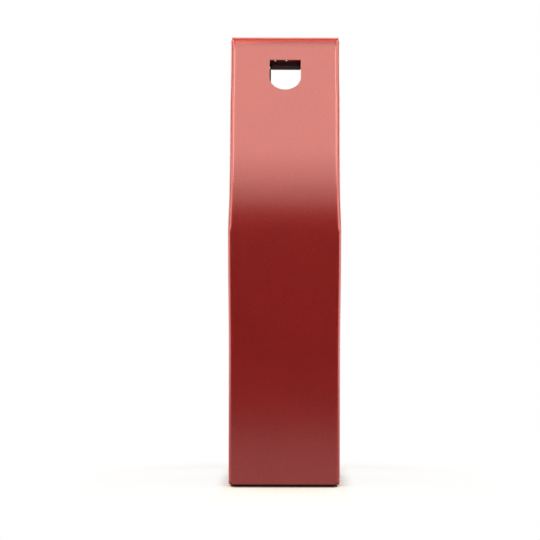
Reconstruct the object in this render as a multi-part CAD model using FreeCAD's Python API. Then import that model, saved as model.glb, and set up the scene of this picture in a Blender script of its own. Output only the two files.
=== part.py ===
"""One-bottle wine gift carton: a folded board tube whose upper front leans back under a tuck lid.

Millimetres. Origin at the middle of the base, +Z up, front towards -Y.
"""

import FreeCAD
import Part
import math
import os

# Driving dimensions

width = 93.0            # outside, left to right
depth = 93.0            # outside, front to back
height = 378.0          # base to the top of the lid
board = 0.8             # thickness of the carton board
fold_radius = 2.2       # outside radius of every folded edge
slip = 0.3              # clearance between sheets that slide past each other

bend_start_share = 0.5635  # of the height: where the front starts to lean and the side slits begin
bend_rise_share = 0.1852   # of the height: the soft bend
tilt_deg = 10.0         # lean of the front above the bend

handle_width = 26.4     # hand hole, across
handle_straight = 15.0  # straight sides of the hand hole
handle_round = 10.8     # depth of its rounded lower end
handle_margin = 20.2    # top of the box down to the straight top of the hand holes
handle_kerf = 0.4       # cut around the flap of the hand hole
handle_fold_deg = 97.0  # how far the flap is folded in

ear_lap = 4.0           # ear hidden behind the side panel when the slope stands upright
tuck_to_handle = 5.2    # lower edge of the tuck flap above the hand hole
tuck_side_gap = 5.0     # lid edge to tuck flap edge
dust_middle_gap = 22.0  # between the tips of the two dust flaps
dust_front_gap = 3.0    # slit edge of the side panel to the root of its dust flap
lid_side_gap = 0.2      # side of the box to the edge of the lid

seam_width = 14.0       # glue flap
seam_end_gap = 1.5      # glue flap to the ends of the side panel
lock_reach = 9.0        # hook of one base flap past the middle
lock_gap = 0.5          # between the interlocked base flaps
lock_slant = 10.0       # half of the slanted stretch between the hooks
inner_flap_reach = 36.0  # inner base flaps, from the side of the box

# Values worked out from them

tilt = math.radians(tilt_deg)
half_width = width / 2
half_depth = depth / 2
flat_half_width = half_width - fold_radius
flat_half_depth = half_depth - fold_radius
inner_fold = fold_radius - board

bend_start = bend_start_share * height
bend_radius = bend_rise_share * height / math.sin(tilt)
bend_centre = FreeCAD.Vector(0, bend_radius - half_depth, bend_start)
slope_direction = FreeCAD.Vector(0, math.sin(tilt), math.cos(tilt))
slope_inward = FreeCAD.Vector(0, math.cos(tilt), -math.sin(tilt))

# The slope and its ears pass inside the side panels
slope_half_width = half_width - board - slip
slope_flat_half_width = slope_half_width - fold_radius

dust_top = height - board - slip
side_top = dust_top - fold_radius
side_bottom = board + fold_radius
back_top = height - board
tuck_face = half_depth - board - 2 * slip
tuck_bottom = height - handle_margin + tuck_to_handle

X_AXIS = FreeCAD.Vector(1, 0, 0)
Y_AXIS = FreeCAD.Vector(0, 1, 0)
Z_AXIS = FreeCAD.Vector(0, 0, 1)


def point(x, y, z):
    return FreeCAD.Vector(x, y, z)


def on_bend(inset, angle):
    """Point on the bend at an angle from its start, inset from the outer face."""
    reach = bend_radius - inset
    return bend_centre + point(0, -reach * math.cos(angle), reach * math.sin(angle))


def up_slope(inset, distance):
    """Point on the leaning front at a distance above the bend, inset from the outer face."""
    return on_bend(inset, tilt) + slope_direction * distance


# The lid's front fold touches the slope here
slope_length = (height - fold_radius + fold_radius * math.sin(tilt) - on_bend(0, tilt).z) / math.cos(tilt)
lid_hinge = up_slope(0, slope_length)
lid_fold_centre = lid_hinge + slope_inward * fold_radius
lean = lid_hinge.y + half_depth
handle_rise = slope_length - (lid_hinge.z - height + handle_margin) / math.cos(tilt)

# The slope turns on the outer face in the middle of the bend
slope_hinge = on_bend(0, tilt / 2)
side_front_at_top = up_slope(fold_radius + slip, slope_length).y


def solid_between(corners, direction):
    """Straight prism on a closed polygon."""
    return Part.Face(Part.makePolygon(corners + corners[:1])).extrude(direction)


def plate(low, high):
    size = high - low
    return Part.makeBox(size.x, size.y, size.z, low)


def fold_section(centre, along, across):
    """Quarter ring of board that turns from the along direction to the across direction."""
    diagonal = (along + across) * math.sqrt(0.5)
    return bent_section(centre, along, diagonal, across)


def bent_section(centre, first, middle, last):
    """Ring section of board from one radius direction to another, about a centre."""
    outer = Part.Arc(centre + first * fold_radius, centre + middle * fold_radius, centre + last * fold_radius)
    inner = Part.Arc(centre + last * inner_fold, centre + middle * inner_fold, centre + first * inner_fold)
    edges = [
        outer.toShape(),
        Part.makeLine(centre + last * fold_radius, centre + last * inner_fold),
        inner.toShape(),
        Part.makeLine(centre + first * inner_fold, centre + first * fold_radius),
    ]
    return Part.Face(Part.Wire(edges))


def joined(*pieces):
    return pieces[0].fuse(list(pieces[1:])).removeSplitter()


def mirrored(shape):
    """Left-hand copy of a right-hand piece."""
    return shape.mirror(point(0, 0, 0), X_AXIS)


def turned(shape, centre, axis, degrees):
    copy = shape.copy()
    copy.rotate(centre, axis, degrees)
    return copy


def along_bend(section, degrees):
    """Carry a section, standing on the bend, further up the bend."""
    return section.revolve(bend_centre, -X_AXIS, degrees)


def front_section(corners, angle):
    """Flat section across the front: corners are (x, inset) pairs, square to the bend at an angle."""
    foot = on_bend(0, angle)
    inward = point(0, math.cos(angle), -math.sin(angle))
    points = [foot + X_AXIS * x + inward * inset for x, inset in corners]
    return Part.Face(Part.makePolygon(points + points[:1]))


def face_section(angle):
    side = slope_flat_half_width
    return front_section([(-side, 0), (side, 0), (side, board), (-side, board)], angle)


def edge_fold_section(angle):
    """Folded right-hand edge of the slope."""
    inward = point(0, math.cos(angle), -math.sin(angle))
    centre = on_bend(0, angle) + X_AXIS * slope_flat_half_width + inward * fold_radius
    return fold_section(centre, -inward, X_AXIS)


def ear_section(angle, reach):
    inner = slope_half_width - board
    corners = [(inner, fold_radius), (slope_half_width, fold_radius), (slope_half_width, reach), (inner, reach)]
    return front_section(corners, angle)


def up_front(section_at, first_angle):
    """Sweep a section up the bend from an angle, and on up the slope to the lid's fold."""
    bent = along_bend(section_at(first_angle), math.degrees(tilt - first_angle))
    straight = section_at(tilt).extrude(slope_direction * slope_length)
    return joined(bent, straight)


# Hand holes and their flaps

def handle_outline(trim):
    """D shape in the XZ plane, its straight top edge along X through the origin."""
    side = handle_width / 2 - trim
    drop = handle_straight
    low = drop + handle_round - trim
    lower_end = Part.ArcOfEllipse(
        Part.Ellipse(point(0, -drop, 0), side, low - drop) if side > low - drop
        else Part.Ellipse(point(0, -low, 0), point(side, -drop, 0), point(0, -drop, 0)),
        *((math.pi, 2 * math.pi) if side > low - drop else (-math.pi / 2, math.pi / 2)))
    edges = [
        Part.makeLine(point(-side, 0, 0), point(side, 0, 0)),
        Part.makeLine(point(side, 0, 0), point(side, -drop, 0)),
        lower_end.toShape(),
        Part.makeLine(point(-side, -drop, 0), point(-side, 0, 0)),
    ]
    outline = Part.Face(Part.Wire(Part.__sortEdges__(edges)))
    return turned(outline, point(0, 0, 0), X_AXIS, 90)


def handle_prism(trim, near, far):
    """D-shaped prism between two Y places."""
    outline = handle_outline(trim)
    outline.translate(point(0, near, 0))
    return outline.extrude(Y_AXIS * (far - near))


def on_slope(shape):
    """Carry a shape from the upright XZ plane to the hand hole in the slope."""
    placed = turned(shape, point(0, 0, 0), X_AXIS, -tilt_deg)
    placed.translate(up_slope(0, handle_rise))
    return placed


def on_back(shape):
    """Carry a shape to the hand hole in the back panel, facing backwards."""
    placed = turned(shape, point(0, 0, 0), Z_AXIS, 180)
    placed.translate(point(0, half_depth, height - handle_margin))
    return placed


def folded_handle_flap():
    flap = handle_prism(handle_kerf, 0, board)
    return turned(flap, point(0, board, 0), X_AXIS, handle_fold_deg)


handle_cut = handle_prism(0, -board, 2 * board)


# Tube

def front_panel():
    lower = plate(point(-flat_half_width, -half_depth, fold_radius),
                  point(flat_half_width, board - half_depth, bend_start))
    half_bend = tilt_deg / 2
    face = along_bend(face_section(0), half_bend)
    fold = along_bend(edge_fold_section(0), half_bend)
    ear = along_bend(ear_section(0, fold_radius + ear_lap), half_bend)
    return joined(lower, face, fold, ear, mirrored(fold), mirrored(ear))


def back_panel():
    seam_edge = flat_half_width - board
    panel = plate(point(-seam_edge, half_depth - board, fold_radius),
                  point(flat_half_width, half_depth, back_top))
    return panel.cut(on_back(handle_cut))


def slit_clearance():
    """Space in front of the side panels that the leaning front and its folds need."""
    inset = fold_radius + slip
    outside = -half_depth - fold_radius
    low = bend_start - slip
    top = up_slope(inset, slope_length + height)
    edges = [
        Part.makeLine(point(-width, outside, low), point(-width, inset - half_depth, low)),
        Part.makeLine(point(-width, inset - half_depth, low), on_bend(inset, 0) - X_AXIS * width),
        Part.Arc(*[on_bend(inset, angle) - X_AXIS * width for angle in (0, tilt / 2, tilt)]).toShape(),
        Part.makeLine(on_bend(inset, tilt) - X_AXIS * width, top - X_AXIS * width),
        Part.makeLine(top - X_AXIS * width, point(-width, outside, top.z)),
        Part.makeLine(point(-width, outside, top.z), point(-width, outside, low)),
    ]
    return Part.Face(Part.Wire(edges)).extrude(X_AXIS * (2 * width))


def side_panel(back_edge):
    """Right-hand side with its front corner fold, cut back along the slit."""
    rise = Z_AXIS * (side_top - side_bottom)
    flat = plate(point(half_width - board, -flat_half_depth, side_bottom),
                 point(half_width, back_edge, side_top))
    corner = point(flat_half_width, -flat_half_depth, side_bottom)
    front_fold = fold_section(corner, -Y_AXIS, X_AXIS).extrude(rise)
    return joined(flat, front_fold).cut(slit_clearance())


def right_side_panel():
    corner = point(flat_half_width, flat_half_depth, side_bottom)
    back_fold = fold_section(corner, X_AXIS, Y_AXIS).extrude(Z_AXIS * (side_top - side_bottom))
    return joined(side_panel(flat_half_depth), back_fold)


def left_side_panel():
    """The seam side: its back edge is a plain cut over the fold of the glue flap."""
    return mirrored(side_panel(half_depth - board))


def seam_flap():
    """Folded from the back panel's left edge and glued inside the left side panel."""
    rise = Z_AXIS * (side_top - side_bottom - 2 * seam_end_gap)
    corner = point(board - half_width + fold_radius, flat_half_depth, side_bottom + seam_end_gap)
    fold = fold_section(corner, Y_AXIS, -X_AXIS).extrude(rise)
    front = flat_half_depth - seam_width
    strip = plate(point(board - half_width, front, corner.z),
                  point(2 * board - half_width, flat_half_depth, corner.z + rise.z))
    return joined(fold, strip)


# Locked base

def bottom_front_flap():
    corner = point(-flat_half_width, -flat_half_depth, fold_radius)
    fold = fold_section(corner, -Y_AXIS, -Z_AXIS).extrude(X_AXIS * (2 * flat_half_width))
    far = lock_reach - lock_gap / 2
    near = -lock_reach - lock_gap / 2
    outline = [
        point(-flat_half_width, -flat_half_depth, 0),
        point(flat_half_width, -flat_half_depth, 0),
        point(flat_half_width, near, 0),
        point(lock_slant, near, 0),
        point(-lock_slant, far, 0),
        point(-flat_half_width, far, 0),
    ]
    return joined(fold, solid_between(outline, Z_AXIS * board))


def bottom_back_flap():
    return turned(bottom_front_flap(), point(0, 0, 0), Z_AXIS, 180)


def bottom_right_flap():
    root = flat_half_depth - fold_radius
    corner = point(flat_half_width, -root, side_bottom)
    fold = fold_section(corner, X_AXIS, -Z_AXIS).extrude(Y_AXIS * (2 * root))
    tip_x = half_width - inner_flap_reach
    tip_y = root - (flat_half_width - tip_x) / 2
    outline = [
        point(flat_half_width, -root, board),
        point(flat_half_width, root, board),
        point(tip_x, tip_y, board),
        point(tip_x, -tip_y, board),
    ]
    return joined(fold, solid_between(outline, Z_AXIS * board))


# Leaning front

def front_slope():
    face = up_front(face_section, tilt / 2)
    return face.cut(on_slope(handle_cut))


def right_ear():
    """Folded edge of the slope, with a triangular ear that slides inside the side panel."""
    fold = up_front(edge_fold_section, tilt / 2)
    widest = fold_radius + ear_lap + lean
    ear = up_front(lambda angle: ear_section(angle, widest), tilt / 2)
    low = on_bend(fold_radius + ear_lap, tilt / 2)
    high = up_slope(widest, slope_length)
    behind = Y_AXIS * depth
    below = Z_AXIS * depth
    beyond = [low, high, high + behind, low + behind - below, low - below]
    ear = ear.cut(solid_between(beyond, X_AXIS * width))
    # Turning with the slope, the ear stays below the root of the dust flap
    sweep = side_top - slip - slope_hinge.z
    ear = ear.common(Part.makeCylinder(sweep, width, slope_hinge, X_AXIS))
    return joined(fold, ear)


# Lid

def lid_panel():
    side = half_width - lid_side_gap
    outward = -slope_inward
    middle = outward + Z_AXIS
    middle.normalize()
    fold = bent_section(lid_fold_centre - X_AXIS * side, outward, middle, Z_AXIS).extrude(X_AXIS * (2 * side))
    roof = plate(point(-side, lid_fold_centre.y, height - board),
                 point(side, tuck_face - fold_radius, height))
    return joined(fold, roof)


def tuck_flap():
    side = half_width - lid_side_gap - tuck_side_gap
    corner = point(-side, tuck_face - fold_radius, height - fold_radius)
    fold = fold_section(corner, Z_AXIS, Y_AXIS).extrude(X_AXIS * (2 * side))
    drop = height - fold_radius - tuck_bottom
    outline = [
        point(-side, tuck_face - board, height - fold_radius),
        point(side, tuck_face - board, height - fold_radius),
        point(side - drop / 2, tuck_face - board, tuck_bottom),
        point(drop / 2 - side, tuck_face - board, tuck_bottom),
    ]
    return joined(fold, solid_between(outline, Y_AXIS * board))


def right_dust_flap():
    """Under the lid, slanted on the lid's hinge side so that it follows the lid up."""
    front = side_front_at_top + dust_front_gap
    back = tuck_face - board - 2 * slip
    corner = point(flat_half_width, front, side_top)
    fold = fold_section(corner, X_AXIS, Z_AXIS).extrude(Y_AXIS * (back - front))
    tip_x = dust_middle_gap / 2
    reach = flat_half_width - tip_x
    outline = [
        point(flat_half_width, front, dust_top - board),
        point(tip_x, front + reach, dust_top - board),
        point(tip_x, back - reach / 6, dust_top - board),
        point(flat_half_width, back, dust_top - board),
    ]
    return joined(fold, solid_between(outline, Z_AXIS * board))


nodes = {
    "front_panel": front_panel(),
    "back_panel": back_panel(),
    "left_side_panel": left_side_panel(),
    "right_side_panel": right_side_panel(),
    "seam_flap": seam_flap(),
    "bottom_front_flap": bottom_front_flap(),
    "bottom_back_flap": bottom_back_flap(),
    "bottom_left_flap": mirrored(bottom_right_flap()),
    "bottom_right_flap": bottom_right_flap(),
    "front_slope": front_slope(),
    "left_ear": mirrored(right_ear()),
    "right_ear": right_ear(),
    "lid_panel": lid_panel(),
    "tuck_flap": tuck_flap(),
    "left_dust_flap": mirrored(right_dust_flap()),
    "right_dust_flap": right_dust_flap(),
    "front_handle_flap": on_slope(folded_handle_flap()),
    "back_handle_flap": on_back(folded_handle_flap()),
}

os.makedirs("parts", exist_ok=True)
for name, shape in nodes.items():
    shape.exportStep("parts/" + name + ".step")
    print(name, "solids", len(shape.Solids), "volume", round(shape.Volume, 1), "valid", shape.isValid())

print("slope hinge", slope_hinge)
print("lid hinge", lid_hinge)
print("lean of the front at the lid", round(lean, 2))
print("tuck hinge", tuck_face - fold_radius, height)
print("side top", side_top)
print("front handle hinge", up_slope(board, handle_rise))
print("back handle hinge", half_depth - board, height - handle_margin)
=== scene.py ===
import bpy
import bmesh
import math
from mathutils import Matrix, Vector
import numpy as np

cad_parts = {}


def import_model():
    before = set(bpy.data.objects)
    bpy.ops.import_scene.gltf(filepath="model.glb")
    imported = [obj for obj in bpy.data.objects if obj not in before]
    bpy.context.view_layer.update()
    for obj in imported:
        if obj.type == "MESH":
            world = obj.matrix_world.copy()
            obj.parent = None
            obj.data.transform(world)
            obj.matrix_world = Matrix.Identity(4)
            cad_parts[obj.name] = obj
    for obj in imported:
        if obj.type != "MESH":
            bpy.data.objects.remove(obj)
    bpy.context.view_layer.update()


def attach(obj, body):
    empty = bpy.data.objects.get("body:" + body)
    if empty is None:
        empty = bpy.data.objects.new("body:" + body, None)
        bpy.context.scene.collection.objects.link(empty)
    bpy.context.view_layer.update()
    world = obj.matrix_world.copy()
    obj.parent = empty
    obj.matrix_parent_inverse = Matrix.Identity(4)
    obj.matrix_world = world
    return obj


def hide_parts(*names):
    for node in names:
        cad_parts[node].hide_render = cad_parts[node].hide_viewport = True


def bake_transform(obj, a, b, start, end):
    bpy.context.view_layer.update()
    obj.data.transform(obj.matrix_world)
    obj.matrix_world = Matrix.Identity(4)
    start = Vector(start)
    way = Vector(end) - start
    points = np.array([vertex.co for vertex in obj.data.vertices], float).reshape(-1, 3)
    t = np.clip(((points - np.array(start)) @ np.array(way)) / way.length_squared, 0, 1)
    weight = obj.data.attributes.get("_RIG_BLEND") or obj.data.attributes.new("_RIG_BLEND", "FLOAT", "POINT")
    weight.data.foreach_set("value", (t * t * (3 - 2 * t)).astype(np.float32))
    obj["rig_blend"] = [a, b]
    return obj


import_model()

MM = 0.001

# Sizes of the carton in millimetres, as in the CAD source

HALF_WIDTH = 46.5
HALF_DEPTH = 46.5
HEIGHT = 378.0
BOARD = 0.8
FOLD = 2.2
SLIP = 0.3
BEND_START = 0.5635 * HEIGHT
BEND_RISE = 0.1852 * HEIGHT
TILT = math.radians(10.0)
HANDLE_HALF = 13.2
HANDLE_STRAIGHT = 15.0
HANDLE_ROUND = 10.8
HANDLE_MARGIN = 20.2
HANDLE_KERF = 0.4
HANDLE_FOLD = math.radians(97.0)
EAR_LAP = 4.0
TUCK_TO_HANDLE = 5.2
DUST_FRONT_GAP = 3.0
DUST_MIDDLE_GAP = 22.0
SEAM_WIDTH = 14.0
SEAM_END_GAP = 1.5
LOCK_REACH = 9.0
LOCK_GAP = 0.5
LOCK_SLANT = 10.0
INNER_FLAP_REACH = 36.0

# Sizes of the dressed board alone, in millimetres: its gaps, creases, softer corners, eased rims and sway

SLOPE_SIDE_GAP = 0.1
LID_SIDE_GAP = 0.8
TUCK_INSET = 5.2
EAR_DROP = 5.0
SLIT_HALF = 0.05
CREASE = 0.5
CORNER = 2.9
SOFT_FOLD = 3.1
RIM = 0.13
FLAP_RIM = 0.1
SWELL_OUT = 0.88
SWELL_RISE = (105, 209)
SWELL_FALL = (211, 245)
DRAWN_IN = ((0.42, (225, 280)), (0.4, (318, 350)), (-0.2, (366, 377)))
SWAY_ACROSS = (30, 44)
SWAY_BACK = (-35, 30)
ROLL_IN = 1.15
ROLL_START = 366
ROLL_BACK = (-19, 0)
TOUCH = 0.01

# Share of the sway that is lost towards the back, and the angle below which two faces shade as one

SWAY_LOST = 0.85
SMOOTH_BELOW = math.radians(18)

FLAT_X = HALF_WIDTH - FOLD
FLAT_Y = HALF_DEPTH - FOLD
QUARTER = FOLD * math.pi / 2
CORNER_ARC = CORNER * math.pi / 2
SLOPE_HALF = HALF_WIDTH - BOARD - SLOPE_SIDE_GAP
SIDE_TOP = HEIGHT - BOARD - SLIP - FOLD
SIDE_BOTTOM = BOARD + FOLD
BACK_TOP = HEIGHT - BOARD
TUCK_FACE = HALF_DEPTH - BOARD - 2 * SLIP
TUCK_BOTTOM = HEIGHT - HANDLE_MARGIN + TUCK_TO_HANDLE
LID_HALF = HALF_WIDTH - LID_SIDE_GAP
TUCK_HALF = HALF_WIDTH - TUCK_INSET

BEND_RADIUS = BEND_RISE / math.sin(TILT)
BEND_ARC = BEND_RADIUS * TILT
BEND_END = BEND_START + BEND_ARC
BEND_CENTRE = Vector((0, BEND_RADIUS - HALF_DEPTH, BEND_START))
UP_SLOPE = Vector((0, math.sin(TILT), math.cos(TILT)))
INTO_SLOPE = Vector((0, math.cos(TILT), -math.sin(TILT)))

X = Vector((1, 0, 0))
Y = Vector((0, 1, 0))
Z = Vector((0, 0, 1))

# Places of the materials on a piece of board

PRINT, INSIDE, EDGE = 0, 1, 2


def front_point(rise, inset):
    """Point of the front's profile: rise along the outer face from the base, inset behind it."""
    if rise <= BEND_START:
        return Vector((0, inset - HALF_DEPTH, rise))
    angle = min((rise - BEND_START) / BEND_RADIUS, TILT)
    reach = BEND_RADIUS - inset
    point = BEND_CENTRE + Vector((0, -reach * math.cos(angle), reach * math.sin(angle)))
    return point + UP_SLOPE * max(0.0, rise - BEND_END)


SLOPE_FOOT = front_point(BEND_END, 0)
SLOPE_LENGTH = (HEIGHT - FOLD + FOLD * math.sin(TILT) - SLOPE_FOOT.z) / math.cos(TILT)
FRONT_TOP = BEND_END + SLOPE_LENGTH
LID_HINGE = front_point(FRONT_TOP, 0)
DUST_FRONT = front_point(FRONT_TOP, FOLD + SLIP).y + DUST_FRONT_GAP


def ramp(low, high, value):
    """Smooth step from 0 at low to 1 at high."""
    share = min(1.0, max(0.0, (value - low) / (high - low)))
    return share * share * (3 - 2 * share)


def swell(z):
    """How far the sides stand out from flat at a height: out where the slits start, in above."""
    out = SWELL_OUT * ramp(*SWELL_RISE, z) * (1 - ramp(*SWELL_FALL, z))
    return out - sum(amount * ramp(*heights, z) for amount, heights in DRAWN_IN)


def soften(point):
    """Give the sides the swell of real board, most at the front, and roll the top edge back."""
    share = ramp(*SWAY_ACROSS, abs(point.x)) * (1 - SWAY_LOST * ramp(*SWAY_BACK, point.y))
    up = max(0.0, (point.z - ROLL_START) / (HEIGHT - ROLL_START))
    roll = ROLL_IN * up ** 2 * (1 - ramp(*ROLL_BACK, point.y))
    return point + X * (math.copysign(1, point.x) * swell(point.z) * share) + Y * roll


def spaced(low, high, step):
    """Even places from low to high, at most a step apart."""
    count = max(1, math.ceil((high - low) / step - 1e-6))
    return [low + (high - low) * i / count for i in range(count + 1)]


def finished(bm, name, materials):
    """The bmesh as a scene object with its materials."""
    mesh = bpy.data.meshes.new(name)
    bm.to_mesh(mesh)
    bm.free()
    for material in materials:
        mesh.materials.append(material)
    piece = bpy.data.objects.new(name, mesh)
    bpy.context.scene.collection.objects.link(piece)
    return piece


def plate(loops):
    """A flat plate of board, printed face up at z = 0, cut to loops: the outline, then any holes."""
    bm = bmesh.new()
    bm.verts.layers.float.new("wear_and_highlight")
    edges = []
    for loop in loops:
        verts = [bm.verts.new((u, v, 0)) for u, v in loop]
        edges += [bm.edges.new(pair) for pair in zip(verts, verts[1:] + verts[:1])]
    if len(loops) == 1:
        bmesh.ops.contextual_create(bm, geom=edges)
    else:
        bmesh.ops.triangle_fill(bm, edges=edges, use_beauty=True)
    made = bmesh.ops.extrude_face_region(bm, geom=bm.faces[:])["geom"]
    under = [item for item in made if isinstance(item, bmesh.types.BMVert)]
    bmesh.ops.translate(bm, vec=Z * -BOARD, verts=under)
    bmesh.ops.recalc_face_normals(bm, faces=bm.faces)
    for face in bm.faces:
        up = round(face.normal.z)
        face.material_index = PRINT if up > 0 else INSIDE if up < 0 else EDGE
    return bm


def board(name, loops, grid, place, butt=None, wear_and_highlight=None, rim=RIM, finishes=None):
    """A piece of board: cut in the flat, creased, then folded by place(u, v, depth), in millimetres.

    The printed face is at depth 0. Rims are eased, except where butt(u, v) says
    the board runs on into the next piece. The function after butt gives how far a crease
    has paled the print and how much painted highlight it carries.
    """
    bm = plate(loops)

    def eased(edge):
        sides = {face.material_index for face in edge.link_faces}
        runs_on = butt and all(butt(vert.co.x, vert.co.y) for vert in edge.verts)
        return len(sides) == 2 and EDGE in sides and not runs_on

    rims = [edge for edge in bm.edges if eased(edge)]
    bmesh.ops.bevel(bm, geom=rims, offset=rim, offset_type="OFFSET", affect="EDGES",
                    segments=2, profile=0.5, material=-1, clamp_overlap=True)
    for axis, lines in zip((X, Y), grid):
        for line in lines:
            bmesh.ops.bisect_plane(bm, geom=bm.verts[:] + bm.edges[:] + bm.faces[:], dist=1e-4,
                                   plane_co=axis * line, plane_no=axis)
    # Share of paler red at each place: print paled on a crease, and a painted highlight
    paled_and_lit = bm.verts.layers.float["wear_and_highlight"]
    for vert in bm.verts:
        u, v, rise = vert.co
        vert[paled_and_lit] = wear_and_highlight(u, v) if wear_and_highlight and rise > -BOARD / 2 else 0.0
        vert.co = place(u, v, -rise) * MM
    bmesh.ops.recalc_face_normals(bm, faces=bm.faces)
    for face in bm.faces:
        face.smooth = True
    for edge in bm.edges:
        edge.smooth = len(edge.link_faces) == 2 and edge.calc_face_angle() < SMOOTH_BELOW
    piece = finished(bm, name, finishes or (print_finish, inside_finish, edge_finish))
    return piece


def folded(centre, first, last, along, turn=math.pi / 2, radius=FOLD):
    """Place for a sheet that starts with a fold: u runs along it, v round the fold and on."""
    arc = radius * turn

    def place(u, v, depth):
        angle = min(v / radius, turn)
        out = first * math.cos(angle) + last * math.sin(angle)
        on = last * math.cos(angle) - first * math.sin(angle)
        return centre + along * u + out * (radius - depth) + on * max(0.0, v - arc)

    return place


def at_root(u, v):
    """Whether a place is on the edge where a flap runs on into the next piece."""
    return v < TOUCH


def creased(v, arc=QUARTER):
    """Paled print and painted highlight over a fold that takes up the first arc of v."""
    rising = ramp(-0.9, 0.5 * arc, v)
    falling = ramp(0.7 * arc, 1.2 * arc, v)
    return rising * (1 - falling)


FOLD_STEP = 0.45


def fold_lines(arc, end, step):
    """Grid lines close together round a fold that takes up the first arc, and at a step beyond it."""
    return spaced(0, arc, FOLD_STEP) + [arc + 0.4] + spaced(arc + 2, end, step)


# Shading

class Value:
    """A shader value: arithmetic on it makes Math nodes in the same tree."""

    def __init__(self, shade, socket):
        self.shade = shade
        self.socket = socket

    def math(self, operation, *others):
        return self.shade.make("ShaderNodeMath", 0, [self, *others], operation=operation)

    def __add__(self, other):
        return self.math("ADD", other)

    def __radd__(self, other):
        return self + other

    def __mul__(self, other):
        return self.math("MULTIPLY", other)

    def __rmul__(self, other):
        return self * other


class Shade:
    """A material or a world, and the one way its nodes are made."""

    def __init__(self, owner):
        self.owner = owner
        owner.use_nodes = True
        self.tree = owner.node_tree
        self.tree.nodes.clear()

    def make(self, kind, output, inputs, **settings):
        node = self.tree.nodes.new(kind)
        for key, value in settings.items():
            setattr(node, key, value)
        named = inputs.items() if isinstance(inputs, dict) else enumerate(inputs)
        for key, value in named:
            if isinstance(value, Value):
                self.tree.links.new(value.socket, node.inputs[key])
            else:
                node.inputs[key].default_value = value
        return None if output is None else Value(self, node.outputs[output])

    def surface(self, value, kind="ShaderNodeOutputMaterial"):
        self.make(kind, None, {"Surface": value})
        return self.owner

    def shown(self, behind=1.0):
        """1 for the rays that show the pale background; mirrored ones only where it stands behind."""
        straight, mirrored, through = (
            self.make("ShaderNodeLightPath", ray, {})
            for ray in ("Is Camera Ray", "Is Glossy Ray", "Is Transmission Ray"))
        return straight.math("MAXIMUM", mirrored.math("MAXIMUM", through) * behind)

    def noise(self, place, scale, detail):
        inputs = {"Vector": place, "Scale": scale, "Detail": detail}
        return self.make("ShaderNodeTexNoise", "Fac", inputs)

    def step(self, value, low, high, to_low=0.0, to_high=1.0):
        inputs = [value, low, high, to_low, to_high]
        return self.make("ShaderNodeMapRange", 0, inputs, interpolation_type="SMOOTHSTEP")

    def mix(self, share, a, b):
        inputs = {0: share, 6: a, 7: b}
        return self.make("ShaderNodeMix", 2, inputs, data_type="RGBA")


DEEP_RED = (0.141, 0.0061, 0.0056, 1)
LIGHT_RED = (0.190, 0.0087, 0.0076, 1)
# Paler red of creases and the top edge: print paled on the fold, and a painted highlight
WEAR_AND_HIGHLIGHT_RED = (0.30, 0.026, 0.019, 1)
# Painted shadow at the base of the board: its colour, and the heights in metres over which it fades out
SHADOW_BROWN = (0.012, 0.005, 0.004, 1)
SHADOW_LINE = (0.0009, 0.0026)


def printed():
    """Red print on leather-grained board under a clear coat, paler on creases with a painted highlight."""
    shade = Shade(bpy.data.materials.new("printed_board"))
    place = shade.make("ShaderNodeTexCoord", "Object", {})
    cells = shade.make("ShaderNodeTexVoronoi", "Distance", {"Vector": place, "Scale": 430.0},
                       feature="DISTANCE_TO_EDGE")
    grain = shade.step(cells, low=0.0, high=0.24)
    fine = shade.noise(place, scale=1500.0, detail=3.0)
    broad = shade.noise(place, scale=24.0, detail=2.0)
    height = grain + fine * 0.35
    bump = shade.make("ShaderNodeBump", 0, {"Strength": 0.40, "Distance": 0.00006, "Height": height})
    colour = shade.mix(grain * 0.5 + broad * 0.5, DEEP_RED, LIGHT_RED)
    # Painted highlight on the folds and the top edge, together with print paled on the crease
    wear_and_highlight = shade.make("ShaderNodeAttribute", "Fac", {}, attribute_name="wear_and_highlight")
    colour = shade.mix(wear_and_highlight, colour, WEAR_AND_HIGHLIGHT_RED)
    roughness = 0.31 + broad * 0.04 + fine * 0.04
    surface = shade.make("ShaderNodeBsdfPrincipled", 0, {
        "Base Color": colour, "Roughness": roughness, "Metallic": 0.55, "Normal": bump,
        "Specular IOR Level": 0.0, "Coat Weight": 1.0, "Coat Roughness": 0.19, "Coat IOR": 1.52})
    # Painted shadow: dark brown over the lowest 0.9 mm of the board, fading out by 2.6 mm, where it stands on
    # the floor
    shadow = shade.make("ShaderNodeBsdfDiffuse", 0, {"Color": SHADOW_BROWN})
    rise = shade.make("ShaderNodeSeparateXYZ", "Z", [place])
    clear = shade.step(rise, *SHADOW_LINE)
    return shade.surface(shade.make("ShaderNodeMixShader", 0, [clear, shadow, surface]))


def plain(name, low, high, roughness):
    """Matt board with fine fibres, its colour between low and high."""
    shade = Shade(bpy.data.materials.new(name))
    place = shade.make("ShaderNodeTexCoord", "Object", {})
    fibre = shade.noise(place, scale=900.0, detail=4.0)
    broad = shade.noise(place, scale=60.0, detail=2.0)
    colour = shade.mix(fibre * 0.6 + broad * 0.4, low, high)
    bump = shade.make("ShaderNodeBump", 0, {"Strength": 0.2, "Distance": 0.00004, "Height": fibre})
    surface = shade.make("ShaderNodeBsdfPrincipled", 0, {
        "Base Color": colour, "Roughness": roughness, "Specular IOR Level": 0.12, "Normal": bump})
    return shade.surface(surface)


print_finish = printed()
inside_finish = plain("board_inside", low=(0.20, 0.155, 0.10, 1), high=(0.30, 0.245, 0.17, 1), roughness=0.85)
edge_finish = plain("board_edge", low=(0.44, 0.16, 0.13, 1), high=(0.58, 0.27, 0.22, 1), roughness=0.7)
flap_finish = plain("flap_print", low=(0.080, 0.0055, 0.0060, 1), high=(0.110, 0.0075, 0.0080, 1),
                    roughness=0.8)


# Front: one sheet from the base up the bend to the lid, with its folded edges and ears

NARROWED_OVER = 5
SOFTENED_OVER = 25


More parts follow.
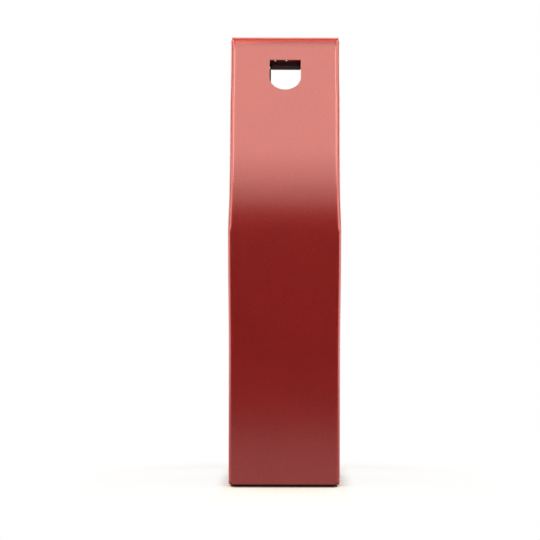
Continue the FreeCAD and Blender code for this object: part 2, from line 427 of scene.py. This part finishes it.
def front_half(rise):
    """Half width of the front, over its folded edges."""
    return HALF_WIDTH - (HALF_WIDTH - SLOPE_HALF) * ramp(BEND_START, BEND_START + NARROWED_OVER, rise)


def front_radius(rise):
    """Radius of the front's folded edges, softer above the bend."""
    return CORNER + (SOFT_FOLD - CORNER) * ramp(BEND_START, BEND_START + SOFTENED_OVER, rise)


def front_place(u, rise, depth):
    """Place on the front sheet: u across it and round its folded edges, rise along it."""
    radius = front_radius(rise)
    flat = front_half(rise) - radius
    side = math.copysign(1, u)
    across = abs(u)
    if across <= flat:
        x, inset = across, depth
    else:
        angle = min((across - flat) / radius, math.pi / 2)
        beyond = max(0.0, across - flat - radius * math.pi / 2)
        x = flat + (radius - depth) * math.sin(angle)
        inset = radius - (radius - depth) * math.cos(angle) + beyond
    point = front_point(rise, inset)
    point.x = side * x
    return soften(point)


def handle_loop(trim):
    """D outline, x and distance down from the top of the hole."""
    half = HANDLE_HALF - trim
    low = HANDLE_ROUND - trim
    foot = [(half * math.cos(a), HANDLE_STRAIGHT + low * math.sin(a))
            for a in spaced(0, math.pi, math.pi / 24)]
    return [(-half, 0), (half, 0)] + foot


HOLE_RISE = FRONT_TOP - (LID_HINGE.z - HEIGHT + HANDLE_MARGIN) / math.cos(TILT)
EAR_START = SLOPE_HALF + SOFT_FOLD * (math.pi / 2 - 1)
MID_BEND = BEND_START + BEND_ARC / 2
EAR_TOP = FRONT_TOP - EAR_DROP
# How much paler red the front's folds and top edge get, as paled print with a painted highlight, deeper at
# the left; depths in millimetres
CORNER_WEAR_AND_HIGHLIGHT = 0.4
TOP_WEAR_AND_HIGHLIGHT = 3.0
TOP_WEAR_AND_HIGHLIGHT_LEFT = 2.6
TOP_WEAR_AND_HIGHLIGHT_ACROSS = (-46, 5)
TOP_WEAR_AND_HIGHLIGHT_FULL = 0.35


def front_skin():
    seam = HALF_WIDTH - CORNER
    lean = LID_HINGE.y + HALF_DEPTH
    cut = BEND_START + SLIT_HALF
    ear = EAR_START + EAR_LAP
    right = [(seam, FOLD), (seam, cut), (seam + CORNER_ARC + EAR_LAP, cut), (ear, BEND_START + 6),
             (ear, MID_BEND), (ear + lean - 1, EAR_TOP - 4), (EAR_START, EAR_TOP), (EAR_START, FRONT_TOP)]
    outline = right + [(-u, v) for u, v in reversed(right)]
    hole = [(x, HOLE_RISE + CREASE - drop) for x, drop in handle_loop(0)]
    half = spaced(0, 36, step=6) + [38.5, 40.5, 41.6]
    half += spaced(SLOPE_HALF - SOFT_FOLD, EAR_START, step=0.4) + [EAR_START + 0.5]
    half += spaced(EAR_START + 3, EAR_START + 27, step=6)
    us = sorted({-u for u in half} | set(half))
    vs = spaced(FOLD, BEND_START - 3, step=8) + [BEND_START - 1, BEND_START + 1.5]
    vs += spaced(BEND_START + 3, BEND_END, step=2.5) + spaced(BEND_END + 5, FRONT_TOP - 9, step=5)
    vs += spaced(FRONT_TOP - 8, FRONT_TOP, step=1)

    def butt(u, v):
        on_seam = abs(abs(u) - seam) < TOUCH and v < cut + TOUCH
        return v < FOLD + TOUCH or v > FRONT_TOP - TOUCH or on_seam

    # Paled print with a painted highlight on the folded edges, and deeper along the top, most at the left
    def wear_and_highlight(u, v):
        radius = front_radius(v)
        corner = CORNER_WEAR_AND_HIGHLIGHT * creased(abs(u) - front_half(v) + radius, radius * math.pi / 2)
        deep = TOP_WEAR_AND_HIGHLIGHT + TOP_WEAR_AND_HIGHLIGHT_LEFT * (1 - ramp(*TOP_WEAR_AND_HIGHLIGHT_ACROSS, u))
        return max(corner, ramp(FRONT_TOP - deep, FRONT_TOP - deep * TOP_WEAR_AND_HIGHLIGHT_FULL, v))

    skin = board("front_skin", [outline, hole], (us, vs), front_place, butt, wear_and_highlight)
    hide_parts("front_panel", "front_slope", "left_ear", "right_ear")
    start = front_point(BEND_START, 0) * MM
    end = SLOPE_FOOT * MM
    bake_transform(skin, "carton", "slope", start=start, end=end)


# Sides: front corner fold, flat side cut back along the slit, back corner fold or glued edge

def side_skin(name, node, side, back_fold):
    middle = CORNER_ARC + HALF_DEPTH - CORNER
    flat_end = middle + FLAT_Y

    def place(u, v, depth):
        if back_fold and u > flat_end:
            angle = (u - flat_end) / FOLD
            out = X * math.cos(angle) + Y * math.sin(angle)
            point = Vector((FLAT_X, FLAT_Y, v)) + out * (FOLD - depth)
        else:
            angle = min(u / CORNER, math.pi / 2)
            out = X * math.sin(angle) - Y * math.cos(angle)
            start = Vector((HALF_WIDTH - CORNER, CORNER - HALF_DEPTH, v))
            point = start + out * (CORNER - depth) + Y * max(0.0, u - CORNER_ARC)
        point.x *= side
        return soften(point)

    def on_side(point):
        return (middle + point.y, point.z)

    inset = FOLD + SLIP
    rises = spaced(BEND_START, BEND_END, step=4) + spaced(BEND_END + 5, FRONT_TOP + 5, step=8)
    slit = [on_side(front_point(rise, inset)) for rise in rises]
    slit = [(u, v) for u, v in slit if v < SIDE_TOP - 0.5]
    over = (SIDE_TOP - front_point(FRONT_TOP, inset).z) / math.cos(TILT)
    slit.append(on_side(front_point(FRONT_TOP, inset) + UP_SLOPE * over))
    low = BEND_START - SLIT_HALF
    back = flat_end + (QUARTER if back_fold else FOLD - BOARD)
    root = FLAT_Y - FOLD
    outline = [(0, SIDE_BOTTOM), (middle - root, SIDE_BOTTOM), (middle + root, SIDE_BOTTOM),
               (back, SIDE_BOTTOM), (back, SIDE_TOP), (middle + DUST_FRONT, SIDE_TOP)]
    outline += slit[::-1] + [(slit[0][0], low), (0, low)]
    us = fold_lines(CORNER_ARC, flat_end - 2, step=6) + [flat_end - 0.4]
    us += spaced(flat_end, back, FOLD_STEP)
    vs = spaced(SIDE_BOTTOM, BEND_START - 6, step=8) + spaced(BEND_START - 3, BEND_START + 40, step=3)
    vs += spaced(BEND_START + 46, SIDE_TOP, step=6)

    def butt(u, v):
        if u < TOUCH or (back_fold and u > back - TOUCH):
            return True
        y = u - middle
        if v < SIDE_BOTTOM + TOUCH:
            return abs(y) < root + TOUCH
        return v > SIDE_TOP - TOUCH and y > DUST_FRONT - TOUCH

    # Paled print with a painted highlight on the corner folds
    def wear_and_highlight(u, v):
        return CORNER_WEAR_AND_HIGHLIGHT * (creased(u, CORNER_ARC) + (creased(back - u) if back_fold else 0))

    skin = board(name, [outline], (us, vs), place, butt, wear_and_highlight)
    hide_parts(node)
    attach(skin, "carton")


def back_skin():
    left = -FLAT_X + BOARD
    seam_low, seam_high = SIDE_BOTTOM + SEAM_END_GAP, SIDE_TOP - SEAM_END_GAP
    outline = [(left, FOLD), (FLAT_X, FOLD), (FLAT_X, BACK_TOP), (left, BACK_TOP),
               (left, seam_high), (left, seam_low)]
    top = HEIGHT - HANDLE_MARGIN + CREASE
    hole = [(x, top - drop) for x, drop in handle_loop(0)]
    grid = (spaced(left, FLAT_X, step=6), spaced(FOLD, BACK_TOP, step=7))

    def place(u, v, depth):
        return soften(Vector((u, HALF_DEPTH - depth, v)))

    def butt(u, v):
        on_seam = u < left + TOUCH and seam_low - TOUCH < v < seam_high + TOUCH
        return u > FLAT_X - TOUCH or v < FOLD + TOUCH or on_seam

    skin = board("back_skin", [outline, hole], grid, place, butt)
    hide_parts("back_panel")
    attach(skin, "carton")


def seam_skin():
    centre = Vector((BOARD - HALF_WIDTH + FOLD, FLAT_Y, 0))
    fold = folded(centre, Y, -X, Z)
    low, high = SIDE_BOTTOM + SEAM_END_GAP, SIDE_TOP - SEAM_END_GAP
    end = QUARTER + SEAM_WIDTH
    outline = [(low, 0), (high, 0), (high, end), (low, end)]
    grid = (spaced(low, high, step=7), fold_lines(QUARTER, end, step=4))
    skin = board("seam_skin", [outline], grid, lambda u, v, d: soften(fold(u, v, d)), at_root)
    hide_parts("seam_flap")
    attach(skin, "carton")


# Base

def base_skins():
    far = QUARTER + FLAT_Y + LOCK_REACH - LOCK_GAP / 2
    near = far - 2 * LOCK_REACH
    outline = [(-FLAT_X, 0), (FLAT_X, 0), (FLAT_X, near), (LOCK_SLANT, near),
               (-LOCK_SLANT, far), (-FLAT_X, far)]
    grid = (spaced(-FLAT_X, FLAT_X, step=6), fold_lines(QUARTER, far, step=6))
    fold = folded(Vector((0, -FLAT_Y, FOLD)), -Y, -Z, X)
    turn = Matrix.Rotation(math.pi, 3, "Z")
    places = {"bottom_front_flap": fold, "bottom_back_flap": lambda u, v, d: turn @ fold(u, v, d)}
    for node, place in places.items():
        skin = board(node + "_skin", [outline], grid, place, at_root)
        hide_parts(node)
        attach(skin, "carton")
    root = FLAT_Y - FOLD
    end = QUARTER + INNER_FLAP_REACH - FOLD
    tip = root - (end - QUARTER) / 2
    outline = [(-root, 0), (root, 0), (root, QUARTER), (tip, end), (-tip, end), (-root, QUARTER)]
    grid = (spaced(-root, root, step=6), fold_lines(QUARTER, end, step=6))
    for node, side in (("bottom_left_flap", -1), ("bottom_right_flap", 1)):
        place = folded(Vector((side * FLAT_X, 0, SIDE_BOTTOM)), X * side, -Z, Y)
        skin = board(node + "_skin", [outline], grid, place, at_root)
        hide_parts(node)
        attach(skin, "carton")


# Top

# Length in millimetres beyond the lid's fold over which its paled print and painted highlight end
LID_WEAR_AND_HIGHLIGHT_END = 1.5


def lid_skin():
    turn = math.pi / 2 - TILT
    centre = LID_HINGE + INTO_SLOPE * FOLD
    arc = FOLD * turn
    end = arc + TUCK_FACE - FOLD - centre.y
    outline = [(-LID_HALF, 0), (LID_HALF, 0), (LID_HALF, end), (TUCK_HALF, end),
               (-TUCK_HALF, end), (-LID_HALF, end)]
    grid = (spaced(-LID_HALF, LID_HALF, step=6), fold_lines(arc, end, step=6))
    fold = folded(centre, -INTO_SLOPE, UP_SLOPE, X, turn)

    def place(u, v, depth):
        return soften(fold(u, v, depth))

    def butt(u, v):
        return at_root(u, v) or (v > end - TOUCH and abs(u) < TUCK_HALF + TOUCH)

    # Paled print with a painted highlight on the lid's front fold
    def wear_and_highlight(u, v):
        return 1 - ramp(arc, arc + LID_WEAR_AND_HIGHLIGHT_END, v)

    skin = board("lid_skin", [outline], grid, place, butt, wear_and_highlight)
    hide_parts("lid_panel")
    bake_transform(skin, "slope", "lid", start=LID_HINGE * MM, end=(centre + Z * FOLD) * MM)


def tuck_skin():
    half = TUCK_HALF
    centre = Vector((0, TUCK_FACE - FOLD, HEIGHT - FOLD))
    reach = centre.z - TUCK_BOTTOM
    end = QUARTER + reach
    tip = half - reach / 2
    outline = [(-half, 0), (half, 0), (half, QUARTER), (tip, end), (-tip, end), (-half, QUARTER)]
    grid = (spaced(-half, half, step=6), fold_lines(QUARTER, end, step=4))
    skin = board("tuck_skin", [outline], grid, folded(centre, Z, Y, X), at_root, lambda u, v: creased(v))
    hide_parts("tuck_flap")
    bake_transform(skin, "lid", "tuck", start=(centre + Z * FOLD) * MM, end=(centre + Y * FOLD) * MM)


def dust_skins():
    front = DUST_FRONT
    back = TUCK_FACE - BOARD - 2 * SLIP
    reach = FLAT_X - DUST_MIDDLE_GAP / 2
    end = QUARTER + reach
    outline = [(front, 0), (back, 0), (back, QUARTER), (back - reach / 6, end),
               (front + reach, end), (front, QUARTER)]
    grid = (spaced(front, back, step=6), fold_lines(QUARTER, end, step=5))
    for name, side in (("left_dust", -1), ("right_dust", 1)):
        centre = Vector((side * FLAT_X, 0, SIDE_TOP))
        fold = folded(centre, X * side, Z, Y)
        skin = board(name + "_skin", [outline], grid, lambda u, v, d: soften(fold(u, v, d)),
                     at_root, lambda u, v: creased(v))
        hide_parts(name + "_flap")
        start = (centre + X * side * FOLD) * MM
        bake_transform(skin, "carton", name, start=start, end=(centre + Z * FOLD) * MM)


# Hand holes: each flap turns in on a tight crease along the straight top of its hole

def handle_skins():
    turn = HANDLE_FOLD
    arc = CREASE * turn
    loop = handle_loop(HANDLE_KERF)
    drop = HANDLE_STRAIGHT + HANDLE_ROUND - HANDLE_KERF
    half = HANDLE_HALF - HANDLE_KERF
    outline = [(-half, 0), (half, 0)] + [(x, v - CREASE + arc) for x, v in loop[2:]]
    down = spaced(0, arc, step=0.2) + [arc + 0.3] + spaced(arc + 2, drop + arc, step=3)
    grid = (spaced(-half, half, step=3), down)
    top = front_point(HOLE_RISE + CREASE, 0)
    front = folded(top + INTO_SLOPE * CREASE, -INTO_SLOPE, -UP_SLOPE, X, turn, CREASE)
    back_top = Vector((0, HALF_DEPTH, HEIGHT - HANDLE_MARGIN + CREASE))
    back = folded(back_top - Y * CREASE, Y, -Z, X, turn, CREASE)
    parts = (("front_handle", "slope", "front_grip", front), ("back_handle", "carton", "back_grip", back))
    for name, fixed, moving, place in parts:
        skin = board(name + "_skin", [outline], grid, place, at_root, rim=FLAP_RIM,
                     finishes=(flap_finish, inside_finish, flap_finish))
        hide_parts(name + "_flap")
        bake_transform(skin, fixed, moving, start=place(0, 0, 0) * MM, end=place(0, arc, 0) * MM)


NICK_SIZE = Vector((0.9, 0.5, 0.8))
NICK_RIM = 0.2
NICK_INSET = 0.35
NICK_PLACES = ((-8.4, 0.15), (1.1, 0.15), (-13.1, 6.6))


def nicks():
    """Torn white fibre where the die's nicks had held the front flap: x and drop from the hole's top."""
    bm = bmesh.new()
    for x, drop in NICK_PLACES:
        made = bmesh.ops.create_cube(bm, size=1.0)["verts"]
        bmesh.ops.scale(bm, vec=NICK_SIZE * MM, verts=made)
        bmesh.ops.translate(bm, vec=(front_point(HOLE_RISE - drop, NICK_INSET) + X * x) * MM, verts=made)
    bmesh.ops.bevel(bm, geom=bm.edges[:], offset=NICK_RIM * MM, offset_type="OFFSET", affect="EDGES",
                    segments=2, profile=0.5, material=-1)
    fibre = plain("torn_fibre", low=(0.62, 0.52, 0.42, 1), high=(0.80, 0.72, 0.62, 1), roughness=0.9)
    piece = finished(bm, "nicks", [fibre])
    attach(piece, "slope")


front_skin()
side_skin("left_skin", "left_side_panel", -1, False)
side_skin("right_skin", "right_side_panel", 1, True)
back_skin()
seam_skin()
base_skins()
lid_skin()
tuck_skin()
dust_skins()
handle_skins()
nicks()


# Stage, in metres

PAPER = (0.58, 0.55, 0.515, 1)
# Colour of the painted shadow, and the distances in metres where it fades out in front and at the sides
PAPER_IN_SHADE = (0.13, 0.105, 0.095, 1)
SHADE_FRONT = (0.0465, 0.0555)
SHADE_SIDE = (0.040, 0.046)
FADE_ROUND = (0.055, 0.20)
FADE_BESIDE = (0.044, 0.060)
BESIDE_SHARE = 0.90
BESIDE_END = (0.06, 0.22)
FLOOR_HALF = Vector((3.0, 1.8, 1.0))
FLOOR_MIDDLE = Vector((0, 1.2, -0.0002))


def stage_floor():
    """Pale paper: a painted shadow under the front edge, shaded round the box, and white to the eye beyond.
    """
    shade = Shade(bpy.data.materials.new("floor"))
    place = shade.make("ShaderNodeTexCoord", "Object", {})
    across = shade.make("ShaderNodeSeparateXYZ", "X", [place]).math("ABSOLUTE")
    back = shade.make("ShaderNodeSeparateXYZ", "Y", [place])
    # Painted shadow: darker paper under the box and in a band about 9 mm deep in front of and behind it,
    # within its width
    clear_front = shade.step(back.math("ABSOLUTE"), *SHADE_FRONT)
    clear = clear_front.math("MAXIMUM", shade.step(across, *SHADE_SIDE))
    paper = shade.make("ShaderNodeBsdfPrincipled", 0, {
        "Base Color": shade.mix(clear, PAPER_IN_SHADE, PAPER),
        "Roughness": 0.7, "Specular IOR Level": 0.1})
    white = shade.make("ShaderNodeEmission", 0, {"Color": (1, 1, 1, 1), "Strength": 1.0})
    away = shade.make("ShaderNodeVectorMath", "Value", [place], operation="LENGTH")
    beside = shade.step(across, *FADE_BESIDE, 0.0, BESIDE_SHARE) * shade.step(back, *BESIDE_END, 1.0, 0.0)
    share = shade.step(away, *FADE_ROUND).math("MAXIMUM", beside) * shade.shown()
    material = shade.surface(shade.make("ShaderNodeMixShader", 0, [share, paper, white]))
    bm = bmesh.new()
    bmesh.ops.create_grid(bm, x_segments=1, y_segments=1, size=1.0)
    bmesh.ops.scale(bm, vec=FLOOR_HALF, verts=bm.verts)
    bmesh.ops.translate(bm, vec=FLOOR_MIDDLE, verts=bm.verts)
    floor = finished(bm, "floor", [material])


def softbox(name, place, target, size, power, colour=(1, 1, 1)):
    light = bpy.data.lights.new(name, "AREA")
    light.shape = "RECTANGLE"
    light.size, light.size_y = size
    light.energy = power
    light.color = colour
    lamp = bpy.data.objects.new(name, light)
    lamp.location = place
    lamp.rotation_mode = "QUATERNION"
    lamp.rotation_quaternion = (Vector(target) - Vector(place)).to_track_quat("-Z", "Y")
    lamp.visible_camera = False
    bpy.context.scene.collection.objects.link(lamp)


WARM = (1, 0.985, 0.86)
UPPER_FRONT = (0, 0, 0.28)


def lamps():
    """Front lights that the leaning front mirrors, and fill from the sides and from above."""
    softbox("front_softbox", (0, -2.0, 1.50), UPPER_FRONT, size=(1.2, 0.89), power=18.3, colour=WARM)
    softbox("front_mid_softbox", (0, -2.0, 0.90), UPPER_FRONT, size=(1.2, 0.25), power=3.8, colour=WARM)
    softbox("front_low_softbox", (0, -2.0, 0.66), UPPER_FRONT, size=(1.2, 0.24), power=2.0, colour=WARM)
    for side, label in ((-1, "left"), (1, "right")):
        softbox(label + "_wing", (side * 1.20, -1.70, 1.18), (0, 0, 0.3),
                size=(1.2, 0.78), power=28, colour=WARM)
        softbox(label + "_wall", (side * 1.05, -0.25, 0.6), (side * 0.2, -0.25, 0.5),
                size=(1.5, 1.2), power=19)
    softbox("top_softbox", (0, 0.12, 1.6), (0, 0.12, 0), size=(1.2, 0.8), power=15)


BEHIND = (0.0, 0.3)
DIM, WHITE = 0.03, 1.0


def world():
    """A dim room: white to the eye all round, and in mirrored rays behind the box."""
    studio = Shade(bpy.data.worlds.new("studio"))
    heading = studio.make("ShaderNodeTexCoord", "Generated", {})
    behind = studio.step(studio.make("ShaderNodeSeparateXYZ", "Y", [heading]), *BEHIND)
    dim, white = (studio.make("ShaderNodeBackground", 0, {"Color": (1, 1, 1, 1), "Strength": strength})
                  for strength in (DIM, WHITE))
    sky = studio.make("ShaderNodeMixShader", 0, [studio.shown(behind), dim, white])
    bpy.context.scene.world = studio.surface(sky, "ShaderNodeOutputWorld")


def camera():
    data = bpy.data.cameras.new("camera")
    data.sensor_width = 36.0
    data.lens = 124.6
    data.shift_x, data.shift_y = -0.0580, 0.0085
    data.clip_start, data.clip_end = 0.05, 50.0
    made = bpy.data.objects.new("camera", data)
    made.location = (0.014, -1.6055, 0.177)
    made.rotation_euler = (math.pi / 2, math.radians(-0.12), 0)
    bpy.context.scene.collection.objects.link(made)
    bpy.context.scene.camera = made


stage_floor()
lamps()
world()
camera()
bpy.context.scene.view_settings.view_transform = "Standard"
